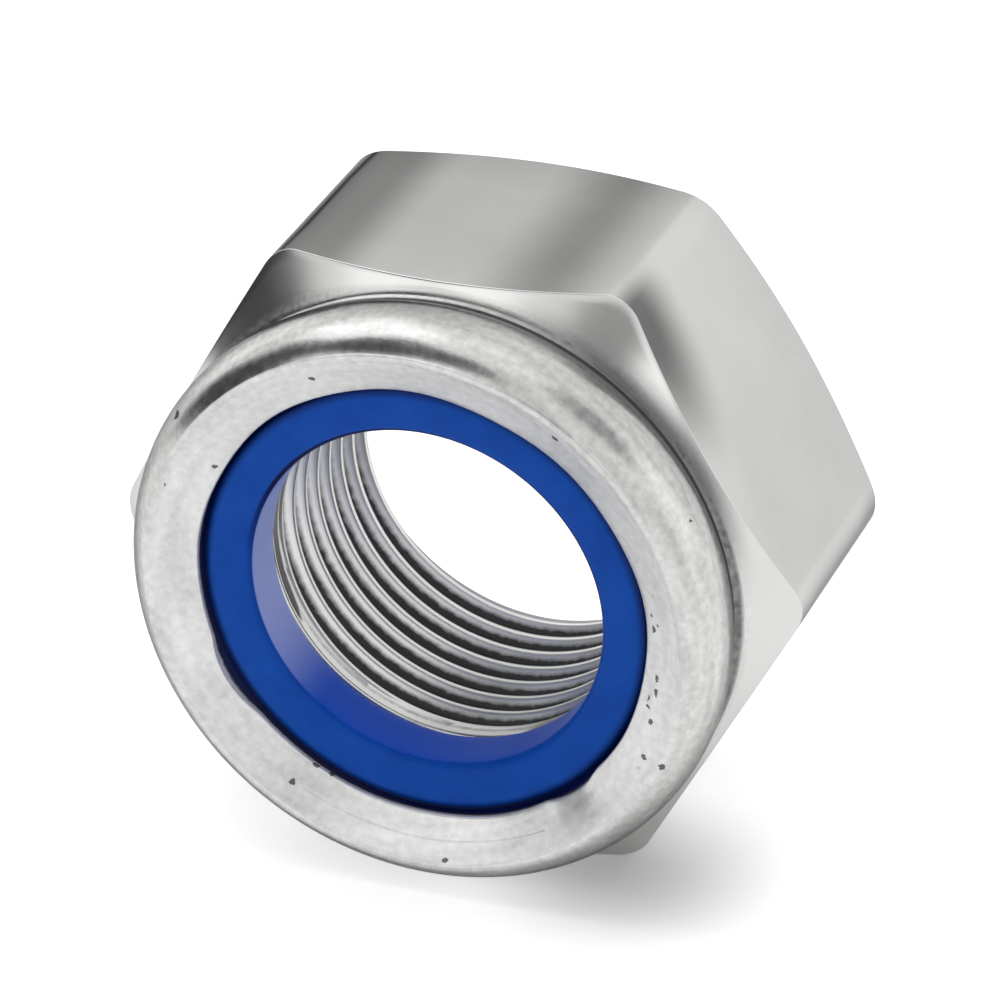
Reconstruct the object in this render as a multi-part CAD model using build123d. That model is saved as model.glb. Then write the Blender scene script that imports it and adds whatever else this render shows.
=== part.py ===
from build123d import *

import math
import os

# Nylon-insert hexagon lock nut for an axle end, fine metric thread.
# The nut stands on one of its hexagon flats. Its bore runs along Y, with the collar and the nylon
# ring towards -Y and the bearing face towards +Y. The origin is under the middle of the nut, on
# the plane of the flat that it stands on. All sizes are in millimetres.
# Heights along the bore are measured from the bearing face towards the collar.

# Hexagon
across_flats = 30.0
flat_height = 13.9
chamfer_angle = 30.0
corner_radius = 2.0
bearing_face_inset = 0.9

# Thread, modelled as a plain bore at its crests, with a bevelled mouth at each end
thread_diameter = 20.0
thread_pitch = 1.5
crest_depth_per_pitch = 1.0825
mouth_step = 0.8
relief_step = 0.5

# Nylon ring
ring_height = 3.1
ring_width = 4.33
ring_bite = 0.438
ring_corner_bevel = 0.7
ring_bore_edge_bevel = 0.4
ring_clearance = 0.02

# Collar, rolled over the ring
seat_above_flats = 0.5
collar_wall = 1.0
collar_bulge = 0.7
widest_below_ridge = 2.4
ridge_above_ring = 1.5
ridge_inset = 1.4
ridge_radius = 0.35
lip_overlap = 1.9
lip_thickness = 0.35

# Diameters that follow
corner_diameter = across_flats / math.cos(math.radians(30))
bearing_face_diameter = across_flats - 2 * bearing_face_inset
thread_crest_diameter = thread_diameter - crest_depth_per_pitch * thread_pitch
mouth_diameter = thread_diameter + 2 * mouth_step
relief_diameter = thread_diameter + 2 * relief_step
ring_bore_diameter = thread_crest_diameter - 2 * ring_bite
ring_diameter = ring_bore_diameter + 2 * ring_width
pocket_diameter = ring_diameter + 2 * ring_clearance
neck_diameter = pocket_diameter + 2 * collar_wall
collar_diameter = neck_diameter + 2 * collar_bulge
ridge_diameter = collar_diameter - 2 * ridge_inset
lip_diameter = pocket_diameter - 2 * lip_overlap

# Heights that follow
seat_height = flat_height + seat_above_flats
ring_top_height = seat_height + ring_height
pocket_top_height = ring_top_height + ring_clearance
lip_height = pocket_top_height + lip_thickness
overall_height = ring_top_height + ridge_above_ring
widest_height = overall_height - widest_below_ridge
flat_distance = across_flats / 2


def at(diameter, height):
    """The point of a section at this diameter and this height above the bearing face."""
    return (diameter / 2, overall_height / 2 - height)


def chamfer_height(diameter, edge_diameter, edge_height, direction):
    """Height at a diameter on the chamfer cone that starts at the edge diameter and height."""
    slope = math.tan(math.radians(chamfer_angle))
    return edge_height + direction * slope * (diameter - edge_diameter) / 2


neck_height = chamfer_height(neck_diameter, across_flats, flat_height, -1)


def about_bore(section):
    """A section turned about the bore axis, raised so that the nut's lowest flat is at z = 0."""
    return Pos(0, 0, flat_distance) * revolve(section, axis=Axis.Y)


def corner_at(section, point):
    """The section's corner that lies at the given point."""
    return min(section.vertices(), key=lambda corner: (corner.center() - Vector(*point)).length)


def hexagon():
    """A hexagon bar with slightly rounded long edges, cut by a chamfer cone at each end."""
    outline = RegularPolygon(flat_distance, 6, major_radius=False)
    bar = extrude(Plane.XZ * outline, amount=overall_height / 2, both=True)
    bar = Pos(0, 0, flat_distance) * fillet(bar.edges().filter_by(Axis.Y), corner_radius)
    turned = Polyline(
        at(0, 0),
        at(bearing_face_diameter, 0),
        at(corner_diameter, chamfer_height(corner_diameter, bearing_face_diameter, 0, 1)),
        at(corner_diameter, chamfer_height(corner_diameter, across_flats, flat_height, -1)),
        at(neck_diameter, neck_height),
        at(0, neck_height),
        close=True,
    )
    return bar & about_bore(make_face(turned))


def ridge_tangents():
    """Where the ridge's round meets the collar's outer shoulder and the dished face inside it."""
    centre_height = overall_height - ridge_radius
    rise = centre_height - widest_height
    shoulder_radius = (ridge_inset**2 + rise**2 - ridge_radius**2) / (2 * (ridge_inset - ridge_radius))
    shoulder_tilt = math.atan2(rise, shoulder_radius - ridge_inset)

    dish_width = (ridge_diameter - lip_diameter) / 2
    dish_rise = centre_height - lip_height
    dish_angle = math.atan2(dish_rise, dish_width) + math.asin(ridge_radius / math.hypot(dish_rise, dish_width))
    return [
        at(ridge_diameter + 2 * ridge_radius * math.cos(tilt), centre_height + ridge_radius * math.sin(tilt))
        for tilt in (shoulder_tilt, dish_angle + math.pi / 2)
    ]


def collar():
    """The collar before it is bored: neck, bulged wall, shoulder, ridge and dished end face."""
    neck = at(neck_diameter, neck_height)
    widest = at(collar_diameter, widest_height)
    ridge = at(ridge_diameter, overall_height)
    lip = at(lip_diameter, lip_height)
    shoulder_end, dish_start = ridge_tangents()
    section = make_face(
        [
            Polyline(lip, at(0, lip_height), at(0, neck_height), neck),
            TangentArc(widest, neck, tangent=(0, 1)),
            TangentArc(widest, shoulder_end, tangent=(0, -1)),
            ThreePointArc(shoulder_end, ridge, dish_start),
            Line(dish_start, lip),
        ]
    )
    return about_bore(section)


def bore():
    """The space inside: bevelled mouth, thread, bevelled relief, ring pocket and lip opening."""
    mouth_depth = (mouth_diameter - thread_crest_diameter) / 2
    relief_depth = (relief_diameter - thread_crest_diameter) / 2
    pocket_corner = at(pocket_diameter, pocket_top_height)
    section = make_face(
        Polyline(
            at(0, 0),
            at(mouth_diameter, 0),
            at(thread_crest_diameter, mouth_depth),
            at(thread_crest_diameter, seat_height - relief_depth),
            at(relief_diameter, seat_height),
            at(pocket_diameter, seat_height),
            pocket_corner,
            at(lip_diameter, pocket_top_height),
            at(lip_diameter, overall_height),
            at(0, overall_height),
            close=True,
        )
    )
    return about_bore(chamfer(corner_at(section, pocket_corner), ring_corner_bevel))


def nut_body():
    """The steel nut in one piece: chamfered hexagon, and the thin collar rolled over the ring."""
    return hexagon() + collar() - bore()


def nylon_insert():
    """The moulded nylon ring, seated on the pocket's floor and held down by the collar's lip."""
    outer_top = at(ring_diameter, ring_top_height)
    bore_top = at(ring_bore_diameter, ring_top_height)
    section = make_face(
        Polyline(
            at(ring_bore_diameter, seat_height),
            at(ring_diameter, seat_height),
            outer_top,
            bore_top,
            close=True,
        )
    )
    section = chamfer(corner_at(section, outer_top), ring_corner_bevel)
    section = chamfer(corner_at(section, bore_top), ring_bore_edge_bevel)
    return about_bore(section)


os.makedirs("parts", exist_ok=True)
for name, solid in {"nut_body": nut_body(), "nylon_insert": nylon_insert()}.items():
    export_step(solid, f"parts/{name}.step")
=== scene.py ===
import math
from functools import partial

import bpy
from mathutils import Matrix, Vector


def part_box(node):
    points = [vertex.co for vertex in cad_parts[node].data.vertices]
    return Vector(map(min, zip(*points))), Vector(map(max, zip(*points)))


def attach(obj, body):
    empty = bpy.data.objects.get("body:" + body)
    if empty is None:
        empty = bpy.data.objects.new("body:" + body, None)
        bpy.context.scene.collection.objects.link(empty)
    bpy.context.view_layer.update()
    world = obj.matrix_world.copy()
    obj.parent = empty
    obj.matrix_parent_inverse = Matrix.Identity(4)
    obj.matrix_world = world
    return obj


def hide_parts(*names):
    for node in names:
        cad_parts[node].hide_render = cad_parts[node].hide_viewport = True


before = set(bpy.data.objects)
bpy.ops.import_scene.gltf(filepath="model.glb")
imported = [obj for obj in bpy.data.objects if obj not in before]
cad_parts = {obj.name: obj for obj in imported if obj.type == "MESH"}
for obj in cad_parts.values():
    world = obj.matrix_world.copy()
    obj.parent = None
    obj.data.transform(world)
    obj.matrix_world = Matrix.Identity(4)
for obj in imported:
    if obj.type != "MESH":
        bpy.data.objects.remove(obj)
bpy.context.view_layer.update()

# The steel nut, one piece: a hexagon bar bored and threaded, chamfered at both ends, with a thin
# collar turned on one end and rolled over the nylon ring. Bright plated steel, smooth drawn flats,
# burnished and slightly pitted where the collar was rolled.
mm = 0.001
nut_low, nut_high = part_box("nut_body")
ring_low, ring_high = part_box("nylon_insert")
across_flats = nut_high.z - nut_low.z
axis_height = (nut_low.z + nut_high.z) / 2
bearing_y = nut_high.y
overall_height = nut_high.y - nut_low.y
seat_height = bearing_y - ring_high.y
ring_top_height = bearing_y - ring_low.y
ring_radius = (ring_high.z - ring_low.z) / 2

flat_height = 13.9 * mm
chamfer_slope = math.tan(math.radians(30))
corner_radius = 2.0 * mm
bearing_radius = across_flats / 2 - 0.9 * mm
thread_pitch = 1.5 * mm
root_radius = 10.0 * mm
crest_radius = root_radius - 1.0825 / 2 * thread_pitch
mouth_radius = root_radius + 0.8 * mm
relief_radius = root_radius + 0.5 * mm
pocket_radius = ring_radius + 0.02 * mm
neck_radius = pocket_radius + 1.0 * mm
collar_radius = neck_radius + 0.7 * mm
widest_height = overall_height - 2.4 * mm
ridge_radius = collar_radius - 1.4 * mm
ridge_round = 0.35 * mm
lip_radius = pocket_radius - 1.9 * mm
lip_height = ring_top_height + 0.37 * mm
edge_round = 0.1 * mm
lip_unevenness = 0.04 * mm
lip_gap = 0.3 * mm
steps_around = 288


def rounded(before, corner, after, radius, steps=4):
    """Points of the arc that rounds a corner of a section, given its neighbours."""
    corner = Vector(corner)
    towards = (Vector(before) - corner).normalized()
    onwards = (Vector(after) - corner).normalized()
    half = towards.angle(onwards) / 2
    centre = corner + (towards + onwards).normalized() * radius / math.sin(half)
    start = corner + towards * radius / math.tan(half) - centre
    end = corner + onwards * radius / math.tan(half) - centre
    turn = start.angle_signed(end)
    return [centre + Matrix.Rotation(-turn * i / steps, 2) @ start for i in range(steps + 1)]


def arc(centre, radius, start, end, steps):
    """Points on an arc of a section from one angle to another, in radians."""
    angles = [start + (end - start) * i / steps for i in range(steps + 1)]
    return [Vector((centre[0] + radius * math.cos(a), centre[1] + radius * math.sin(a))) for a in angles]


def between(start, end, steps):
    """Points inside the straight stretch between two points, the ends left out."""
    return [Vector(start).lerp(Vector(end), i / steps) for i in range(1, steps)]


class Section:
    """A half section at the middle of a flat. Each station has a radius and a height above the bearing face,
    and says how it follows the hexagon (reach, shift) or the thread (lead), how its surface was finished and
    where shade is painted on it (three shares, named for each piece), and how far it follows the lip's
    unevenness."""

    def __init__(self):
        self.stations = []

    def add(self, points, reach=0.0, shift=0.0, lead=0.0, finish=(0, 0, 0), lip=0.0):
        for point in points:
            self.stations.append((point[0], point[1], reach, shift, lead, finish, lip))

    def mesh(self, name):
        made = bpy.data.meshes.new(name)
        made.from_pydata([(s[0], s[1], 0) for s in self.stations], [], [])
        for column, attribute in ((2, "reach"), (3, "shift"), (4, "lead"), (6, "lip")):
            values = made.attributes.new(attribute, "FLOAT", "POINT")
            values.data.foreach_set("value", [s[column] for s in self.stations])
        values = made.attributes.new("finish", "FLOAT_VECTOR", "POINT")
        values.data.foreach_set("vector", [x for s in self.stations for x in s[5]])
        return made


# Finishes of the steel, as shares: drawn, rolled, and painted shade (darkening painted into the collar's
# neck, under the lip and in the bore)
turned = (0, 0, 0)
drawn = (1, 0, 0)
rolled = (0, 1, 0)
partly_painted_shade = (0, 1, 0.34)
painted_shade = (0, 1, 1)
painted_shade_in_bore = (0, 0, 1)
flat_distance = across_flats / 2


def chamfer_stations(section, edge_height, direction, inner_radius, outwards):
    """A chamfer cone and its rounded edge to the flat, listed outwards or inwards."""
    def on_cone(radius):
        return Vector((radius, edge_height + direction * chamfer_slope * (radius - flat_distance)))

    inner, outer = on_cone(inner_radius), on_cone(flat_distance)
    edge = rounded(inner, outer, (flat_distance, flat_height / 2), edge_round)
    rows = [(p, 1.0, direction * chamfer_slope, turned if i < 3 else drawn) for i, p in enumerate(edge)]
    steps = 5
    cone = []
    for i in range(1, steps):
        share = i / steps
        cone.append((inner.lerp(edge[0], share), share, direction * chamfer_slope * share, turned))
    rows = cone + rows
    for point, reach, shift, finish in rows if outwards else reversed(rows):
        section.add([point], reach, shift, finish=finish)


def neck_point():
    """Where the collar's neck meets the chamfer cone at the middle of a flat."""
    return Vector((neck_radius, flat_height + chamfer_slope * (flat_distance - neck_radius)))


def collar_stations(section):
    """Neck, bulged wall, shoulder, ridge and dished face of the rolled collar, out to its lip."""
    neck = neck_point()
    rise = widest_height - neck.y
    wall_radius = ((collar_radius - neck.x) ** 2 + rise**2) / (2 * (collar_radius - neck.x))
    wall_start = -math.asin(rise / wall_radius)
    wall = arc((collar_radius - wall_radius, widest_height), wall_radius, wall_start, 0, 8)
    cove = rounded((flat_distance, flat_height), neck, wall[1], 0.42 * mm, 6)
    # Painted shade, darkest in the neck's crease and fading onto the chamfer and the collar's wall
    section.add([neck.lerp(Vector((flat_distance, flat_height)), 0.55)], finish=(0, 1, 0.26))
    section.add(cove[:4], finish=partly_painted_shade)
    section.add(cove[4:], finish=painted_shade)
    section.add(wall[2:5], finish=partly_painted_shade)
    section.add(wall[5:-1], finish=rolled)

    inset = collar_radius - ridge_radius
    rise = overall_height - ridge_round - widest_height
    shoulder = (inset**2 + rise**2 - ridge_round**2) / (2 * (inset - ridge_round))
    tilt = math.atan2(rise, shoulder - inset)
    section.add(arc((collar_radius - shoulder, widest_height), shoulder, 0, tilt, 12)[:-1], finish=rolled)

    width = ridge_radius - lip_radius
    drop = overall_height - ridge_round - lip_height
    dish = math.atan2(drop, width) + math.asin(ridge_round / math.hypot(drop, width)) + math.pi / 2
    ridge = arc((ridge_radius, overall_height - ridge_round), ridge_round, tilt, dish, 6)
    section.add(ridge, finish=rolled)
    lip = Vector((lip_radius, lip_height))
    below = Vector((lip_radius, ring_top_height))
    edge = rounded(ridge[-1], lip, below, 0.16 * mm, 4)
    for i, point in enumerate(between(ridge[-1], edge[0], 10)):
        section.add([point], finish=rolled, lip=(i / 9) ** 2)
    section.add(edge, finish=rolled, lip=1.0)
    # Painted shade on the lip's underside, against the ring
    section.add([below + Vector((0.02 * mm, 0.03 * mm))], finish=painted_shade, lip=0.6)


def thread_stations(section):
    """Turns of the 60 degree thread, each with its crest, root and two flanks, listed down the bore."""
    quarter = thread_pitch / 4
    flank = (root_radius - crest_radius) * math.tan(math.radians(30))
    root_width = thread_pitch - quarter - 2 * flank
    turn = [
        (0.00 * mm, 0.07 * mm),
        (0.07 * mm, 0.015 * mm),
        (quarter / 2, 0.0),
        (quarter - 0.07 * mm, 0.015 * mm),
        (quarter, 0.07 * mm),
        (quarter + flank * 0.5, (root_radius - crest_radius) * 0.5),
        (quarter + flank, root_radius - crest_radius),
        (quarter + flank + root_width / 2, root_radius - crest_radius + 0.025 * mm),
        (quarter + flank + root_width, root_radius - crest_radius),
        (quarter + flank * 1.5 + root_width, (root_radius - crest_radius) * 0.5),
    ]
    top = thread_end + thread_pitch * 0.3
    turns = math.ceil((top - thread_start) / thread_pitch) + 1
    for k in range(turns):
        for rise, depth in turn:
            height = top - k * thread_pitch - rise
            section.add([(crest_radius + depth, height)], lead=1.0)


thread_start = mouth_radius - root_radius - 0.06 * mm
relief_slope = math.tan(math.radians(30))
relief_end = seat_height - (relief_radius - crest_radius) * relief_slope
thread_end = relief_end - 0.8 * mm


def nut_section():
    """The whole closed half section of the nut, from the mouth of the bore round to it again."""
    section = Section()
    mouth = (mouth_radius, 0)
    face = (bearing_radius, 0)
    inside = (mouth_radius - 0.5 * mm, 0.5 * mm)
    on_cone = (flat_distance, (flat_distance - bearing_radius) * chamfer_slope)
    section.add(rounded(inside, mouth, face, 0.15 * mm))
    section.add(between(mouth, face, 4))
    section.add(rounded(mouth, face, on_cone, 0.3 * mm))
    chamfer_stations(section, on_cone[1], 1, bearing_radius + 0.08 * mm, True)
    for share in (0.75, 0.5, 0.25):
        height = on_cone[1] + (flat_height - on_cone[1]) * (1 - share)
        section.add([(flat_distance, height)], 1.0, chamfer_slope * (2 * share - 1), finish=drawn)
    chamfer_stations(section, flat_height, -1, neck_radius + 0.60 * mm, False)
    collar_stations(section)

    top = ring_top_height + 0.02 * mm
    section.add([(pocket_radius - 0.7 * mm, top), (pocket_radius, top - 0.7 * mm)])
    section.add([(pocket_radius, seat_height)])
    relief_edge = (relief_radius, seat_height)
    plain = (crest_radius, relief_end)
    section.add(rounded((pocket_radius, seat_height), relief_edge, plain, 0.1 * mm))
    section.add(rounded(relief_edge, plain, (crest_radius, 0), 0.15 * mm))
    # The plain stretch of bore carries a painted shadow on its left side, under the ring
    section.add([(crest_radius, relief_end - 0.2 * mm), (crest_radius, thread_end)], finish=painted_shade_in_bore)
    thread_stations(section)
    section.add([(mouth_radius - thread_start, thread_start)])
    return section


def add_node(tree, kind, links=(), **settings):
    """A new node with these settings, and with a link or a plain value for each input given."""
    made = tree.nodes.new(kind)
    for name, value in settings.items():
        setattr(made, name, value)
    for socket, value in links:
        if isinstance(value, bpy.types.NodeSocket):
            tree.links.new(value, made.inputs[socket])
        else:
            made.inputs[socket].default_value = value
    return made


def calc(tree, operation, *values):
    """The result of a math node on sockets or plain numbers."""
    return add_node(tree, "ShaderNodeMath", enumerate(values), operation=operation).outputs[0]


def turning_tree():
    """Geometry nodes that turn a half section about the bore, press it out to the hexagon where a
    station reaches for it, and wind it along the thread where a station leads."""
    tree = bpy.data.node_groups.new("Turn the section", "GeometryNodeTree")
    face = tree.interface
    face.new_socket("Geometry", in_out="OUTPUT", socket_type="NodeSocketGeometry")
    face.new_socket("Geometry", in_out="INPUT", socket_type="NodeSocketGeometry")
    face.new_socket("Steps Around", in_out="INPUT", socket_type="NodeSocketInt")
    sizes = ("Flat Distance", "Corner Radius", "Axis Height", "Bearing Y", "Thread Pitch", "Thread Start",
             "Thread End", "Crest Radius", "Root Radius", "Mouth Radius", "Lip Unevenness", "Lip Gap")
    for name in sizes:
        face.new_socket(name, in_out="INPUT", socket_type="NodeSocketFloat")
    face.new_socket("Material", in_out="INPUT", socket_type="NodeSocketMaterial")
    given = tree.nodes.new("NodeGroupInput").outputs

    node = partial(add_node, tree)
    do = partial(calc, tree)
    count = node("GeometryNodeAttributeDomainSize", [("Geometry", given["Geometry"])]).outputs["Point Count"]
    length = do("SUBTRACT", count, 1.0)
    around = do("ADD", given["Steps Around"], 1.0)
    extent = [("Size X", length), ("Size Y", 1.0), ("Vertices X", count), ("Vertices Y", around)]
    grid = node("GeometryNodeMeshGrid", extent)
    place = node("ShaderNodeSeparateXYZ", [("Vector", node("GeometryNodeInputPosition").outputs[0])]).outputs
    row = do("ROUND", do("ADD", place["X"], do("MULTIPLY", length, 0.5)))

    def station(name, kind="FLOAT"):
        if name == "position":
            value = node("GeometryNodeInputPosition").outputs[0]
        else:
            named = node("GeometryNodeInputNamedAttribute", [("Name", name)], data_type=kind)
            value = named.outputs["Attribute"]
        links = [("Geometry", given["Geometry"]), ("Value", value), ("Index", row)]
        return node("GeometryNodeSampleIndex", links, data_type=kind, domain="POINT").outputs[0]

    # Angle round the bore, with closer steps at the hexagon's corners
    sector = do("MULTIPLY", do("ADD", place["Y"], 0.5), 6.0)
    off_middle = do("SUBTRACT", do("FRACT", sector), 0.5)
    swing = do("MULTIPLY", do("SINE", do("MULTIPLY", off_middle, math.pi)), math.pi / 6)
    middle = do("MULTIPLY", do("ADD", do("FLOOR", sector), 0.5), math.pi / 3)
    angle = do("ADD", middle, swing)

    # Distance from the axis to the rounded hexagon, beyond its middle
    flat = given["Flat Distance"]
    inner = do("SUBTRACT", flat, given["Corner Radius"])
    bend = do("ARCTANGENT", do("DIVIDE", do("MULTIPLY", inner, math.tan(math.pi / 6)), flat))
    off_corner = do("SUBTRACT", math.pi / 6, do("ABSOLUTE", swing))
    centre = do("DIVIDE", inner, math.cos(math.pi / 6))
    side = do("MULTIPLY", centre, do("SINE", off_corner))
    chord = do("SUBTRACT", do("POWER", given["Corner Radius"], 2.0), do("MULTIPLY", side, side))
    round_part = do("MULTIPLY", centre, do("COSINE", off_corner))
    round_part = do("ADD", round_part, do("SQRT", do("MAXIMUM", chord, 0.0)))
    flat_part = do("DIVIDE", flat, do("COSINE", swing))
    is_round = do("GREATER_THAN", do("ABSOLUTE", swing), bend)
    hexagon = do("ADD", flat_part, do("MULTIPLY", is_round, do("SUBTRACT", round_part, flat_part)))
    excess = do("SUBTRACT", hexagon, flat)

    # Radius and height of each point, on the hexagon or on the thread
    drawn_at = node("ShaderNodeSeparateXYZ", [("Vector", station("position", "FLOAT_VECTOR"))]).outputs
    lead = station("lead")
    plain_radius = do("ADD", drawn_at["X"], do("MULTIPLY", excess, station("reach")))
    plain_height = do("ADD", drawn_at["Y"], do("MULTIPLY", excess, station("shift")))
    climb = do("MULTIPLY", given["Thread Pitch"], do("DIVIDE", angle, 2 * math.pi))
    wound = do("ADD", drawn_at["Y"], climb)
    wound = do("MINIMUM", do("MAXIMUM", wound, given["Thread Start"]), given["Thread End"])
    mouth = do("SUBTRACT", given["Mouth Radius"], wound)
    smooth = do("MAXIMUM", given["Crest Radius"], mouth)
    run_out_slope = 1.6
    run_out = do("MULTIPLY", do("SUBTRACT", given["Thread End"], wound), run_out_slope)
    deepest = do("MAXIMUM", do("ADD", given["Crest Radius"], run_out), smooth)
    bored = do("MINIMUM", do("MAXIMUM", drawn_at["X"], smooth), deepest)
    full_depth = do("SUBTRACT", given["Root Radius"], given["Crest Radius"])
    depth = do("DIVIDE", do("SUBTRACT", bored, smooth), full_depth)

    # The lip's waves, and the two places where it stands off the ring, each given by its angle and
    # half width in degrees
    slow_wave = do("SINE", do("ADD", do("MULTIPLY", angle, 4.0), 0.35))
    quick_wave = do("SINE", do("MULTIPLY", angle, 9.0))
    uneven = do("MULTIPLY", do("ADD", slow_wave, quick_wave), given["Lip Unevenness"])
    lip_gaps = ((209.5, 11.0), (311.0, 8.5))
    for gap_angle, gap_width in lip_gaps:
        off_gap = do("DIVIDE", do("SUBTRACT", angle, math.radians(gap_angle)), math.radians(gap_width))
        gap = do("MAXIMUM", do("SUBTRACT", 1.0, do("MULTIPLY", off_gap, off_gap)), 0.0)
        uneven = do("ADD", uneven, do("MULTIPLY", gap, given["Lip Gap"]))
    uneven = do("MULTIPLY", uneven, station("lip"))
    plain_radius = do("ADD", plain_radius, uneven)
    radius = do("ADD", plain_radius, do("MULTIPLY", lead, do("SUBTRACT", bored, plain_radius)))
    height = do("ADD", plain_height, do("MULTIPLY", lead, do("SUBTRACT", wound, plain_height)))

    position = node("ShaderNodeCombineXYZ", [
        ("X", do("MULTIPLY", radius, do("COSINE", angle))),
        ("Y", do("SUBTRACT", given["Bearing Y"], height)),
        ("Z", do("ADD", given["Axis Height"], do("MULTIPLY", radius, do("SINE", angle)))),
    ]).outputs[0]

    # Finish: painted shade in the thread's roots, darker in the lower half of the bore
    kinds = node("ShaderNodeSeparateXYZ", [("Vector", station("finish", "FLOAT_VECTOR"))]).outputs
    darker_below = do("SUBTRACT", 0.52, do("MULTIPLY", do("SINE", angle), 0.52))
    painted_darkness = do("ADD", kinds["Z"], do("MULTIPLY", do("MULTIPLY", lead, depth), darker_below))
    finish = node("ShaderNodeCombineXYZ", [("X", kinds["X"]), ("Y", kinds["Y"]), ("Z", painted_darkness)]).outputs[0]

    def store(shape, name, kind, value):
        links = [("Geometry", shape), ("Name", name), ("Value", value)]
        made = node("GeometryNodeStoreNamedAttribute", links, data_type=kind, domain="POINT")
        return made.outputs[0]

    shape = store(grid.outputs["Mesh"], "finish", "FLOAT_VECTOR", finish)
    shape = store(shape, "cut", "FLOAT", lead)
    shape = node("GeometryNodeSetPosition", [("Geometry", shape), ("Position", position)]).outputs[0]
    shape = node("GeometryNodeMergeByDistance", [("Geometry", shape), ("Distance", 0.001 * mm)]).outputs[0]
    shape = node("GeometryNodeFlipFaces", [("Mesh", shape)]).outputs[0]
    shape = node("GeometryNodeSetShadeSmooth", [("Geometry", shape)]).outputs[0]
    shape = node("GeometryNodeRealizeInstances", [("Geometry", shape)]).outputs[0]
    shape = node("GeometryNodeSetMaterial", [("Geometry", shape), ("Material", given["Material"])]).outputs[0]
    tree.links.new(shape, tree.nodes.new("NodeGroupOutput").inputs[0])
    return tree


turning = turning_tree()


def turn(name, section, material):
    """The plain mesh object that the turning tree makes of a section, closed from end to end."""
    section.stations.append(section.stations[0])
    draft = bpy.data.objects.new(name + "_draft", section.mesh(name + "_section"))
    bpy.context.scene.collection.objects.link(draft)
    modifier = draft.modifiers.new("turning", "NODES")
    modifier.node_group = turning
    values = {
        "Steps Around": steps_around,
        "Flat Distance": flat_distance,
        "Corner Radius": corner_radius,
        "Axis Height": axis_height,
        "Bearing Y": bearing_y,
        "Thread Pitch": thread_pitch,
        "Thread Start": thread_start,
        "Thread End": thread_end,
        "Crest Radius": crest_radius,
        "Root Radius": root_radius,
        "Mouth Radius": mouth_radius,
        "Lip Unevenness": lip_unevenness,
        "Lip Gap": lip_gap,
        "Material": material,
    }
    for socket in turning.interface.items_tree:
        if socket.in_out == "INPUT" and socket.name in values:
            modifier[socket.identifier] = values[socket.name]
    shown = draft.evaluated_get(bpy.context.evaluated_depsgraph_get())
    mesh = bpy.data.meshes.new_from_object(shown)
    bpy.data.objects.remove(draft)
    mesh.name = name
    piece = bpy.data.objects.new(name, mesh)
    bpy.context.scene.collection.objects.link(piece)
    return piece


def material_tree(name):
    """A new material, with its node tree, its shader and its output."""
    made = bpy.data.materials.new(name)
    made.use_nodes = True
    return made, made.node_tree, made.node_tree.nodes["Principled BSDF"]


def ranged(tree, value, start, end, low=0.0, high=1.0, blend="LINEAR"):
    """A value carried from one range to another, and held at both ends."""
    links = [("Value", value), ("From Min", start), ("From Max", end), ("To Min", low), ("To Max", high)]
    return add_node(tree, "ShaderNodeMapRange", links, interpolation_type=blend).outputs["Result"]


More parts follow.
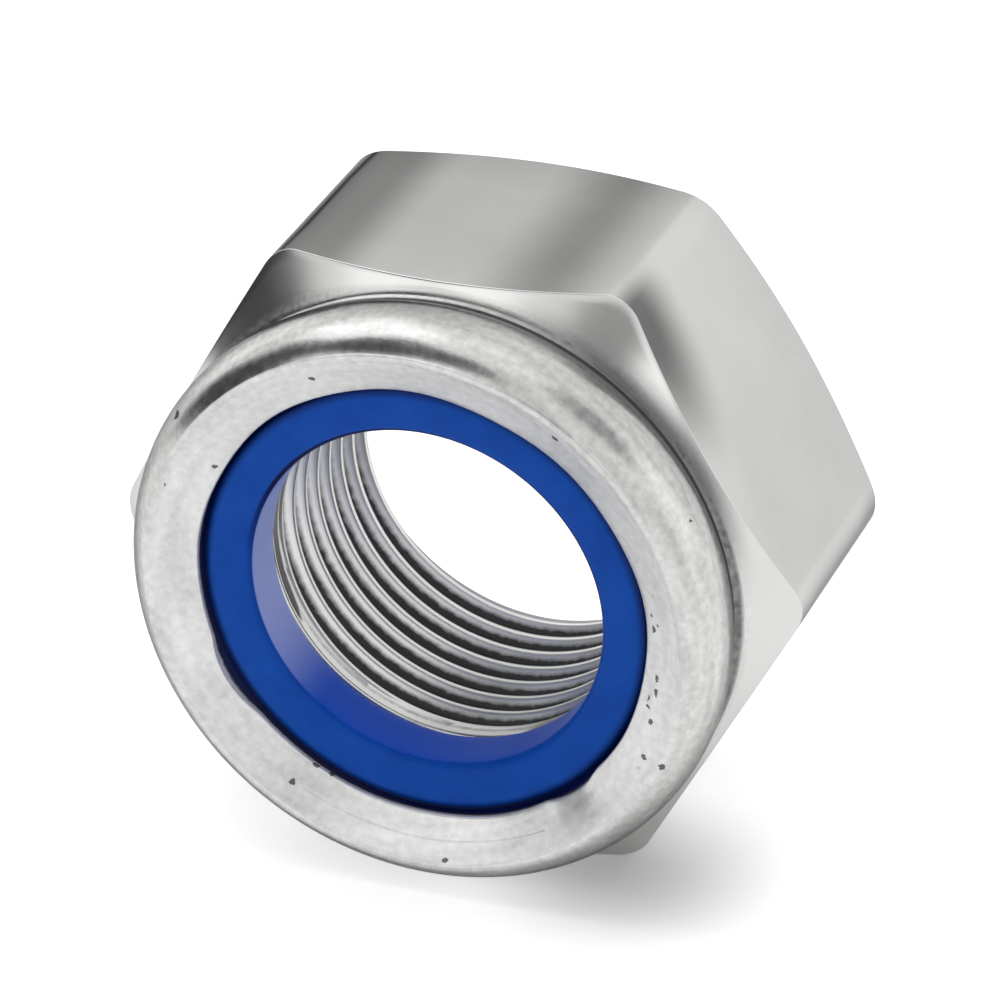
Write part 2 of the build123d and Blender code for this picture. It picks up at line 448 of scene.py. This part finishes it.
class SteelSurface:
    """Nodes that tell where a point lies on the nut and how its metal was finished, the marks that its making
    left there, and the shade and reflections painted on it."""

    def __init__(self, tree):
        self.node = partial(add_node, tree)
        self.do = partial(calc, tree)
        self.ranged = partial(ranged, tree)
        self.place = self.node("ShaderNodeTexCoord").outputs["Object"]
        self.across, self.along, self.height = self.parts(self.place)
        self.rise = self.do("SUBTRACT", self.height, axis_height)
        squares = [self.do("MULTIPLY", side, side) for side in (self.across, self.rise)]
        self.from_axis = self.do("SQRT", self.do("ADD", *squares))
        self.angle = self.do("ARCTAN2", self.rise, self.across)
        finish = self.node("ShaderNodeAttribute", attribute_name="finish").outputs["Vector"]
        self.drawn, self.rolled, self.painted_shade = self.parts(finish)
        self.cut = self.node("ShaderNodeAttribute", attribute_name="cut").outputs["Fac"]
        self.grain = self.noise(self.place, 2600.0, 4.0)
        self.cloud = self.noise(self.place, 260.0, 2.0)
        self.streak = self.streaks()

    def parts(self, vector):
        return self.node("ShaderNodeSeparateXYZ", [("Vector", vector)]).outputs

    def noise(self, place, scale, detail):
        links = [("Vector", place), ("Scale", scale), ("Detail", detail)]
        return self.node("ShaderNodeTexNoise", links).outputs[0]

    def shift(self, operation, *values):
        """The result of a vector math node."""
        return self.node("ShaderNodeVectorMath", enumerate(values), operation=operation).outputs[0]

    def streaks(self):
        """Streaks that follow the collar round, left by the rolling tool."""
        ringwise = self.node("ShaderNodeCombineXYZ", [("X", self.from_axis), ("Y", self.along)]).outputs[0]
        wander = self.shift("MULTIPLY", self.place, (0.16, 0.16, 0.16))
        return self.noise(self.shift("ADD", ringwise, wander), 1500.0, 4.0)

    def lines(self):
        """Fine lengthwise lines of the drawn bar."""
        stretched = self.node("ShaderNodeMapping", [("Vector", self.place), ("Scale", (1.0, 0.035, 1.0))])
        return self.noise(stretched.outputs[0], 9000.0, 3.0)

    def painted_crease_shade(self):
        """Painted shade in the thread's roots, in the collar's neck and under its lip, darker on the right
        side of the neck, and a painted shadow on the left side of the plain stretch of bore under the ring."""
        do = self.do
        right = do("MULTIPLY", self.rolled, self.ranged(self.across, -4 * mm, 9 * mm, -0.45, 0.04))
        left = self.ranged(self.across, -7.6 * mm, -8.7 * mm, blend="SMOOTHSTEP")
        amount = do("ADD", right, do("ADD", 0.70, do("MULTIPLY", self.grain, 0.6)))
        amount = do("MULTIPLY", amount, do("MAXIMUM", do("MAXIMUM", self.cut, self.rolled), left))
        return self.ranged(do("MULTIPLY", self.painted_shade, amount), 0.18, 0.42)

    def painted_chamfer_shade(self):
        """Painted shade on the front chamfer, next to the upper right part of the collar's neck."""
        do = self.do
        outer, inner = neck_radius + 1.5 * mm, neck_radius + 0.1 * mm
        off_side = do("ABSOLUTE", do("SUBTRACT", self.angle, math.radians(42)))
        chamfer_front = bearing_y - neck_point().y - 0.15 * mm
        shares = [
            self.ranged(self.from_axis, outer, inner, blend="SMOOTHSTEP"),
            self.ranged(off_side, math.radians(40), math.radians(12), blend="SMOOTHSTEP"),
            do("SUBTRACT", 1.0, self.drawn),
            do("GREATER_THAN", self.from_axis, neck_radius),
            do("GREATER_THAN", self.along, chamfer_front),
            do("LESS_THAN", self.along, 0.0),
        ]
        chamfer_shade = do("ADD", 0.50, do("MULTIPLY", self.streak, 0.65))
        for share in shares:
            chamfer_shade = do("MULTIPLY", chamfer_shade, share)
        return chamfer_shade

    def painted_reflection_bands(self):
        """Painted reflection: soft lengthwise bands across the drawn flats, as a factor of their brightness.
        """
        # Place across the nut in mm, and brightness
        bands = [(-17.0, 0.75), (-8.5, 0.50), (-6.3, 0.55), (-3.4, 1.08)]
        bands += [(0.6, 1.10), (4.7, 0.61), (8.0, 1.12), (17.0, 1.00)]
        reach = 18.0
        share = self.do("ADD", self.do("DIVIDE", self.across, 2 * reach * mm), 0.5)
        ramp = self.node("ShaderNodeValToRGB", [("Fac", share)])
        ramp.color_ramp.interpolation = "EASE"
        stops = ramp.color_ramp.elements
        while len(stops) < len(bands):
            stops.new(0.5)
        for stop, (distance, brightness) in zip(stops, bands):
            stop.position = distance / (2 * reach) + 0.5
            stop.color = [brightness / 2] * 3 + [1]
        return self.do("MULTIPLY", ramp.outputs[0], 2.0)

    def painted_dark_reflection(self):
        """A painted dark reflection on the right flat, at the front end of its upper long edge, as a factor.
        """
        do = self.do
        middle = (9.4 * mm, -3.2 * mm, axis_height + 13.6 * mm)
        off_middle = self.shift("MULTIPLY", self.shift("SUBTRACT", self.place, middle), (1.0, 1.6, 0.8))
        distance = self.node("ShaderNodeVectorMath", [(0, off_middle)], operation="LENGTH").outputs["Value"]
        darkened = self.ranged(distance, 1.0 * mm, 7.0 * mm, 0.26, 1.0, "SMOOTHSTEP")
        sideways = do("MULTIPLY", self.across, math.cos(math.pi / 6))
        outwards = do("ADD", sideways, do("MULTIPLY", self.rise, 0.5))
        on_flat = self.ranged(outwards, flat_distance - 0.7 * mm, flat_distance - 0.1 * mm)
        return do("SUBTRACT", 1.0, do("MULTIPLY", on_flat, do("SUBTRACT", 1.0, darkened)))

    def specks(self, scale, raggedness, size):
        """Small ragged spots, so many to the metre."""
        links = [("Vector", self.place), ("Scale", scale)]
        distance = self.node("ShaderNodeTexVoronoi", links).outputs["Distance"]
        ragged = self.do("ADD", distance, self.do("MULTIPLY", self.grain, raggedness))
        return self.do("LESS_THAN", ragged, size)

    def pits(self):
        """A few pits anywhere on the collar, and a row of them just outside the lip's right side."""
        do = self.do
        scattered = do("MULTIPLY", self.specks(900.0, 0.5, 0.39), do("GREATER_THAN", self.cloud, 0.60))
        row_radius, row_half_width = 11.85 * mm, 0.22 * mm
        row_angle, row_half_angle = 0.06, 0.33
        in_row = do("LESS_THAN", do("ABSOLUTE", do("SUBTRACT", self.from_axis, row_radius)), row_half_width)
        in_arc = do("LESS_THAN", do("ABSOLUTE", do("SUBTRACT", self.angle, row_angle)), row_half_angle)
        row = do("MULTIPLY", do("MULTIPLY", in_row, in_arc), self.specks(1500.0, 0.7, 0.68))
        return do("MULTIPLY", self.rolled, do("MAXIMUM", scattered, row))

    def scribed_ring(self):
        """A faint scribed ring on the lower part of the collar's face."""
        do = self.do
        ring_at, half_width = 12.25 * mm, 0.05 * mm
        off_ring = do("DIVIDE", do("SUBTRACT", self.from_axis, ring_at), half_width)
        scribed = do("MAXIMUM", do("SUBTRACT", 1.0, do("MULTIPLY", off_ring, off_ring)), 0.0)
        scribed = do("MULTIPLY", scribed, do("LESS_THAN", self.height, axis_height - 10.6 * mm))
        return do("MULTIPLY", self.rolled, scribed)

    def frost(self):
        """The matt inner part of the collar's face, from the ridge to the lip."""
        inside = self.ranged(self.from_axis, ridge_radius, ridge_radius - 0.4 * mm, high=0.55)
        return self.do("MULTIPLY", self.rolled, inside)


def steel():
    """Bright plated steel: fine lines along the drawn flats with painted reflection bands and a painted dark
    patch, streaks and pits round the rolled collar, a matt face, and painted shade in the neck, on the
    chamfer beside it, under the lip and in the thread."""
    made, tree, shader = material_tree("bright_steel")
    surface = SteelSurface(tree)
    do = surface.do
    grain, streak, cloud = surface.grain, surface.streak, surface.cloud
    drawn_part, rolled_part, cut_part = surface.drawn, surface.rolled, surface.cut
    # Painted shade: darkening in the neck, on the chamfer beside it, under the lip and in the thread's roots,
    # and a painted shadow in the bore under the ring
    painted_darkness = do("MINIMUM", do("MAXIMUM", surface.painted_crease_shade(), surface.painted_chamfer_shade()), 1.0)
    pit, scribed, frost = surface.pits(), surface.scribed_ring(), surface.frost()

    tone = do("ADD", 0.70, do("MULTIPLY", do("SUBTRACT", cloud, 0.5), 0.08))
    # Painted reflection: bands across the drawn flats, with a painted dark patch on the right flat
    painted_reflection = do("MULTIPLY", surface.painted_reflection_bands(), surface.painted_dark_reflection())
    tone = do("MULTIPLY", tone, do("ADD", 1.0, do("MULTIPLY", drawn_part, do("SUBTRACT", painted_reflection, 1.0))))
    tone = do("ADD", tone, do("MULTIPLY", cut_part, 0.14))
    mottle = do("MULTIPLY", do("SUBTRACT", do("ADD", grain, streak), 1.16), 0.38)
    tone = do("ADD", tone, do("MULTIPLY", rolled_part, mottle))
    tone = do("SUBTRACT", tone, do("MULTIPLY", scribed, 0.10))
    tone = do("ADD", tone, do("MULTIPLY", frost, 0.28))
    tone = do("MULTIPLY", tone, do("SUBTRACT", 1.0, do("MULTIPLY", pit, 0.8)))
    tone = do("MULTIPLY", tone, do("SUBTRACT", 1.0, do("MULTIPLY", painted_darkness, 0.92)))
    shares = [("Red", tone), ("Green", tone), ("Blue", do("MULTIPLY", tone, 0.985))]
    colour = surface.node("ShaderNodeCombineColor", shares).outputs[0]
    tree.links.new(colour, shader.inputs["Base Color"])

    rough = do("ADD", 0.12, do("MULTIPLY", cloud, 0.08))
    rough = do("ADD", rough, do("MULTIPLY", rolled_part, do("MULTIPLY", grain, 0.12)))
    rough = do("ADD", rough, do("MULTIPLY", cut_part, 0.18))
    tree.links.new(rough, shader.inputs["Roughness"])
    bare = do("MULTIPLY", do("SUBTRACT", 1.0, do("MULTIPLY", painted_darkness, 0.85)), do("SUBTRACT", 1.0, frost))
    tree.links.new(bare, shader.inputs["Metallic"])
    shader.inputs["Specular Tint"].default_value = (0.35, 0.35, 0.35, 1)

    height = do("MULTIPLY", drawn_part, do("MULTIPLY", surface.lines(), 0.3))
    height = do("ADD", height, do("MULTIPLY", rolled_part, do("ADD", grain, streak)))
    height = do("SUBTRACT", height, do("MULTIPLY", do("ADD", pit, scribed), 1.2))
    bump = surface.node("ShaderNodeBump", [("Height", height), ("Strength", 0.25), ("Distance", 0.02 * mm)])
    tree.links.new(bump.outputs[0], shader.inputs["Normal"])
    return made


nut = turn("steel_nut", nut_section(), steel())
nut.data.set_sharp_from_angle(angle=math.radians(50))
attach(nut, "root")
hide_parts("nut_body")

# The nylon ring: moulded blue nylon, pressed into the collar's pocket before the lip is rolled over
# it. Its face is slightly crowned, its bore edge is rounded, and it dips where it meets the lip.
ring_bore_radius = crest_radius - 0.438 * mm
ring_edge_round = 0.5 * mm

# Finishes of the nylon, as shares: painted shade on the bore edge, the bore wall (painted brighter, with a
# painted pale reflection), painted shadow of the lip
shadowed = (0, 0, 1)
bore_edge = (1, 0, 0)
bore_wall = (0, 1, 0)


def ring_section():
    """Half section of the ring, from its bore along the seat, up its rim and over its face."""
    section = Section()
    bottom = (ring_bore_radius, seat_height)
    outer_bottom = (ring_radius, seat_height)
    face = ring_top_height
    section.add(rounded((ring_bore_radius, face), bottom, outer_bottom, 0.2 * mm), finish=bore_wall)
    section.add(between(bottom, outer_bottom, 3))
    section.add([outer_bottom, (ring_radius, face - 0.7 * mm), (ring_radius - 0.7 * mm, face)])
    section.add([
        (lip_radius + 0.22 * mm, face - 0.02 * mm),
        (lip_radius + 0.10 * mm, face - 0.16 * mm),
        (lip_radius - 0.02 * mm, face - 0.30 * mm),
        (lip_radius - 0.14 * mm, face - 0.20 * mm),
    ], finish=shadowed)
    section.add([(lip_radius - 0.25 * mm, face - 0.12 * mm)], finish=(0, 0, 0.7))
    section.add([(lip_radius - 0.45 * mm, face - 0.05 * mm)], finish=(0, 0, 0.3))
    crown = Vector((lip_radius - 0.9 * mm, face))
    inner = Vector((ring_bore_radius, face - 0.14 * mm))
    section.add([(lip_radius - 0.6 * mm, face - 0.025 * mm), crown])
    section.add([crown.lerp(inner, share) + Vector((0, 0.02 * mm)) for share in (0.25, 0.5)])
    edge = rounded(crown, inner, (ring_bore_radius, seat_height), ring_edge_round, 8)
    section.add(edge[:3])
    section.add(edge[3:7], finish=bore_edge)
    section.add(edge[7:], finish=bore_wall)
    wall = between((ring_bore_radius, face - 0.7 * mm), (ring_bore_radius, seat_height + 0.3 * mm), 4)
    section.add(wall, finish=bore_wall)
    return section


def nylon():
    """Blue moulded nylon with a satin skin, with painted shade: dark in the lip's shadow and along the upper
    part of the bore's edge. A brighter blue is painted on the bore's wall to make up for its shade, with a
    painted pale reflection on the left part of that wall."""
    made, tree, shader = material_tree("blue_nylon")
    node = partial(add_node, tree)
    do = partial(calc, tree)
    place = node("ShaderNodeTexCoord").outputs["Object"]
    spot = node("ShaderNodeSeparateXYZ", [("Vector", place)]).outputs
    skin = node("ShaderNodeTexNoise", [("Vector", place), ("Scale", 700.0), ("Detail", 3.0)]).outputs[0]
    finish = node("ShaderNodeAttribute", attribute_name="finish").outputs["Vector"]
    on_edge, on_wall, shadow = node("ShaderNodeSeparateXYZ", [("Vector", finish)]).outputs

    def mixed(share, colour, other):
        links = [("Factor", share), ("A", colour), ("B", other)]
        return node("ShaderNodeMix", links, data_type="RGBA").outputs["Result"]

    colour = mixed(skin, (0.0, 0.050, 0.34, 1), (0.003, 0.085, 0.48, 1))
    upper = ranged(tree, spot["Z"], axis_height, axis_height + 5 * mm)
    dark = do("MAXIMUM", shadow, do("MULTIPLY", on_edge, upper))
    colour = mixed(dark, colour, (0.0, 0.004, 0.06, 1))
    # A brighter blue painted on the bore's wall to make up for its shade, and a painted pale reflection on
    # its left part
    colour = mixed(on_wall, colour, (0.0, 0.075, 0.58, 1))
    painted_pale_reflection = ranged(tree, spot["X"], -5.6 * mm, -8.6 * mm, high=0.85, blend="SMOOTHSTEP")
    colour = mixed(do("MULTIPLY", on_wall, painted_pale_reflection), colour, (0.40, 0.48, 0.88, 1))
    tree.links.new(colour, shader.inputs["Base Color"])
    shader.inputs["Roughness"].default_value = 0.34
    shader.inputs["Specular IOR Level"].default_value = 0.12
    shader.inputs["Sheen Weight"].default_value = 0.30
    shader.inputs["Sheen Roughness"].default_value = 0.30
    shader.inputs["Sheen Tint"].default_value = (0.45, 0.60, 1.0, 1)
    bump = node("ShaderNodeBump", [("Height", skin), ("Strength", 0.12), ("Distance", 0.03 * mm)])
    tree.links.new(bump.outputs[0], shader.inputs["Normal"])
    return made


ring = turn("nylon_ring", ring_section(), nylon())
ring.data.set_sharp_from_angle(angle=math.radians(50))
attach(ring, "root")
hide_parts("nylon_insert")

# Floor: a plain white sheet of paper that the nut stands on, wide enough to show in the metal. It
# keeps the nut's shadow.
floor_size = 2.0
floor_half = floor_size / 2
floor_corners = [(x * floor_half, y * floor_half, 0) for x, y in ((-1, -1), (1, -1), (1, 1), (-1, 1))]
floor_mesh = bpy.data.meshes.new("floor")
floor_mesh.from_pydata(floor_corners, [], [(0, 1, 2, 3)])
floor = bpy.data.objects.new("floor", floor_mesh)
bpy.context.scene.collection.objects.link(floor)


def floor_material():
    """White paper, lifted a little where it is seen or mirrored, so that it reads as plain white, and less so
    near the nut's foot, which adds a painted shadow to the real one there."""
    made, tree, shader = material_tree("white_paper")
    shader.inputs["Base Color"].default_value = (0.72, 0.72, 0.72, 1)
    shader.inputs["Roughness"].default_value = 0.9
    ray = add_node(tree, "ShaderNodeLightPath").outputs
    mirrored = calc(tree, "MAXIMUM", ray["Is Glossy Ray"], ray["Is Transmission Ray"])
    seen = calc(tree, "MAXIMUM", ray["Is Camera Ray"], calc(tree, "MULTIPLY", mirrored, 0.55))
    place = add_node(tree, "ShaderNodeTexCoord").outputs["Object"]
    painted_shadow_centre = (9 * mm, -4.5 * mm, 0)
    off_painted_shadow = add_node(tree, "ShaderNodeVectorMath", [(0, place), (1, painted_shadow_centre)], operation="DISTANCE")
    lift = ranged(tree, off_painted_shadow.outputs["Value"], 0.5 * mm, 9.0 * mm, 0.10, 0.55, "SMOOTHSTEP")
    tree.links.new(calc(tree, "MULTIPLY", seen, lift), shader.inputs["Emission Strength"])
    shader.inputs["Emission Color"].default_value = (1, 1, 1, 1)
    return made


floor_mesh.materials.append(floor_material())


# Light: a pale tent all round, with the darker and brighter stretches that the steel mirrors, and
# one soft lamp overhead for the shadow. Where the camera sees the tent itself, it is plain white.
def aim(azimuth, elevation):
    """Direction from the nut towards a point round it; azimuth 0 is in front of the collar."""
    a, e = math.radians(azimuth), math.radians(elevation)
    return Vector((math.sin(a) * math.cos(e), -math.cos(a) * math.cos(e), math.sin(e)))


def tent():
    """The world: a pale tent with soft darker and brighter patches, each given by its direction,
    its inner and outer half width in degrees, and its brightness."""
    world = bpy.data.worlds.new("tent")
    world.use_nodes = True
    bpy.context.scene.world = world
    tree = world.node_tree
    way = add_node(tree, "ShaderNodeTexCoord").outputs["Generated"]
    level = 0.9
    patches = [
        (0, 88, 10, 32, 1.12),
        (-96, 58, 13, 26, 1.6),
        (-122, 12, 10, 22, 1.3),
        (-42, 50, 12, 21, 0.06),
        (-8, 56, 7, 15, 0.12),
        (80, 48, 6, 20, 0.35),
        (-72, 30, 8, 20, 0.08),
        (-78, 6, 14, 26, 0.06),
        (-60, 14, 6, 14, 0.05),
        (-14, 28, 5, 11, 1.35),
        (-33, 24, 6, 11, 1.35),
        (12, 21, 4, 11, 0.3),
        (24, 15, 3, 9, 1.35),
        (100, 12, 10, 24, 1.25),
        (-158, 28, 8, 22, 0.75),
        (-147, -3, 6, 16, 0.15),
        (147, 2, 12, 30, 0.92),
    ]
    for azimuth, elevation, inner, outer, brightness in patches:
        links = [(0, way), (1, aim(azimuth, elevation))]
        towards = add_node(tree, "ShaderNodeVectorMath", links, operation="DOT_PRODUCT").outputs["Value"]
        edge, middle = math.cos(math.radians(outer)), math.cos(math.radians(inner))
        share = ranged(tree, towards, edge, middle, blend="SMOOTHERSTEP")
        change = calc(tree, "SUBTRACT", brightness, level)
        level = calc(tree, "ADD", level, calc(tree, "MULTIPLY", share, change))
    seen = add_node(tree, "ShaderNodeLightPath").outputs["Is Camera Ray"]
    level = calc(tree, "MAXIMUM", level, seen)
    background = tree.nodes["Background"]
    tree.links.new(level, background.inputs["Strength"])
    background.inputs["Color"].default_value = (1, 1, 1, 1)


tent()


def soft_box(name, azimuth, elevation, distance, size, power):
    """A square area lamp that faces the nut and doesn't show in its metal."""
    lamp = bpy.data.lights.new(name, "AREA")
    lamp.size = size
    lamp.energy = power
    made = bpy.data.objects.new(name, lamp)
    made.location = aim(azimuth, elevation) * distance + Vector((0, 0, axis_height))
    made.rotation_euler = aim(azimuth, elevation).to_track_quat("Z", "Y").to_euler()
    made.visible_glossy = False
    bpy.context.scene.collection.objects.link(made)


soft_box("overhead_light", -130, 76, 0.4, 0.3, 0.5)

# Camera: to the right of the bore and above it, as the photo was taken, from about 0.29 m.
view_azimuth = 21.78
view_elevation = 28.55
view_roll = -1.76
view_distance = 0.2878
pixels_per_mm = 20.89
photo_width = 1000
look_at = Vector((0, 2.25 * mm, axis_height))
look_aside = -0.045 * mm
look_above = 0.149 * mm

back = aim(view_azimuth, view_elevation)
level_right = Vector((back.y, -back.x, 0)).normalized() * -1
place = look_at + back * view_distance
target = look_at + level_right * look_aside + back.cross(level_right) * look_above
back = (place - target).normalized()
level_right = Vector((0, 0, 1)).cross(back).normalized()
upright = back.cross(level_right)
roll = math.radians(view_roll)
right = math.cos(roll) * level_right + math.sin(roll) * upright
up = math.cos(roll) * upright - math.sin(roll) * level_right
camera = bpy.data.cameras.new("camera")
camera.sensor_width = 36.0
camera.lens = camera.sensor_width * pixels_per_mm * view_distance / mm / photo_width
camera.clip_start = 0.01
viewer = bpy.data.objects.new("camera", camera)
viewer.matrix_world = Matrix.Translation(place) @ Matrix((right, up, back)).transposed().to_4x4()
bpy.context.scene.collection.objects.link(viewer)
bpy.context.scene.camera = viewer
bpy.context.scene.view_settings.view_transform = "Standard"
